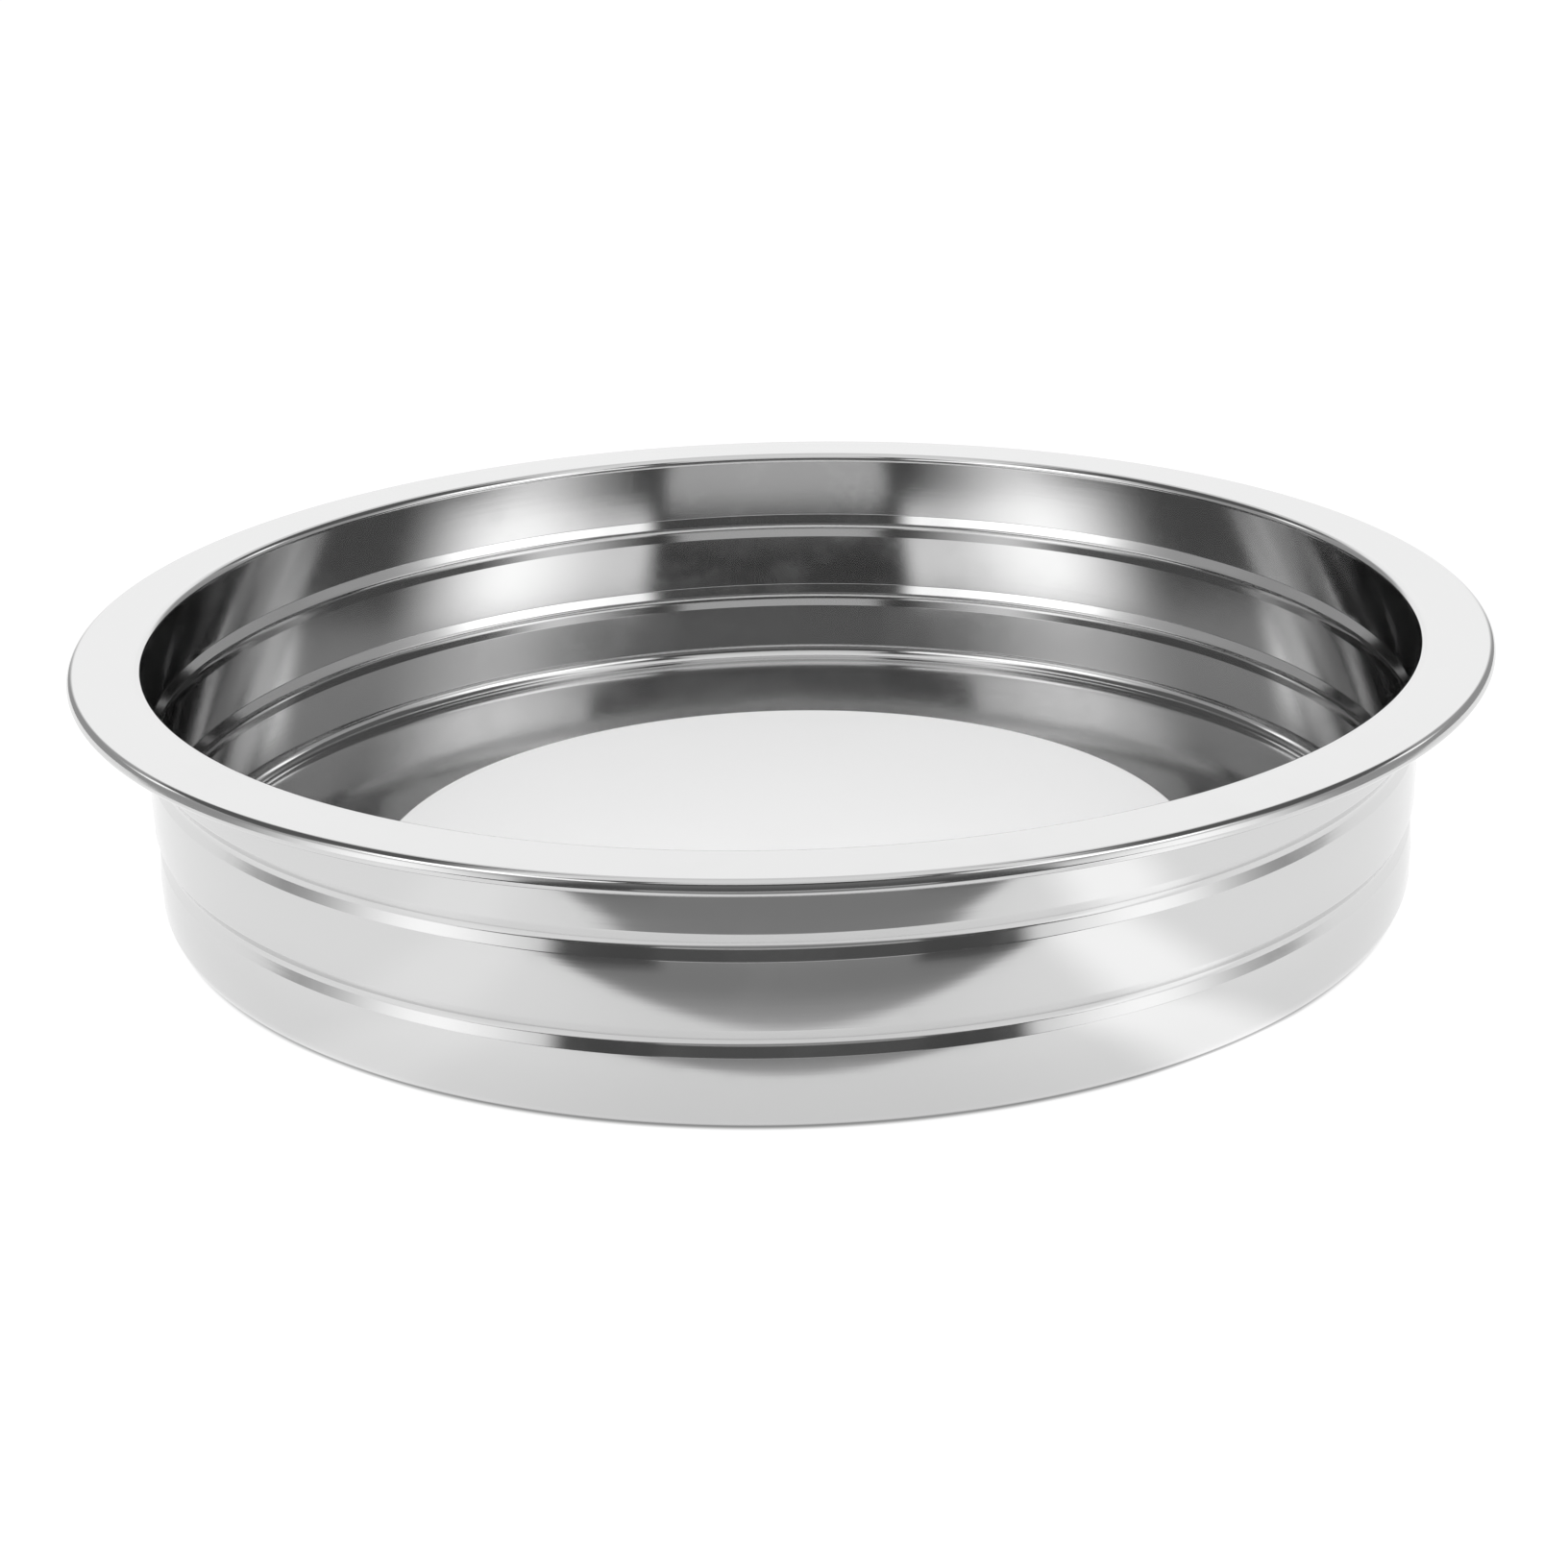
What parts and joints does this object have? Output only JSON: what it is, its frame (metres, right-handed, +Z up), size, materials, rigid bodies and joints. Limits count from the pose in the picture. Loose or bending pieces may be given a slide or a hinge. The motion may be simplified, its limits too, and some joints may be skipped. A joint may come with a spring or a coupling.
{
  "type": "round flanged steel pan",
  "caption": "Shallow round stainless-steel pan with a wide flat rim, an edge turned down and in, and an upright wall with inward beads.",
  "frame": {"origin": "centre of the base's flat underside, on the axis of the round pan", "axes": "+Z up along the pan's axis, out of its open mouth; X and Y are any two directions across it, because the pan is round"},
  "size_m": [0.32, 0.32, 0.0588],
  "materials": {
    "polished_steel": "mirror-polished stainless steel with a satin disc in the middle of the floor"
  },
  "bodies": {
    "root": {"pan": "polished_steel"}
  },
  "joints": []
}
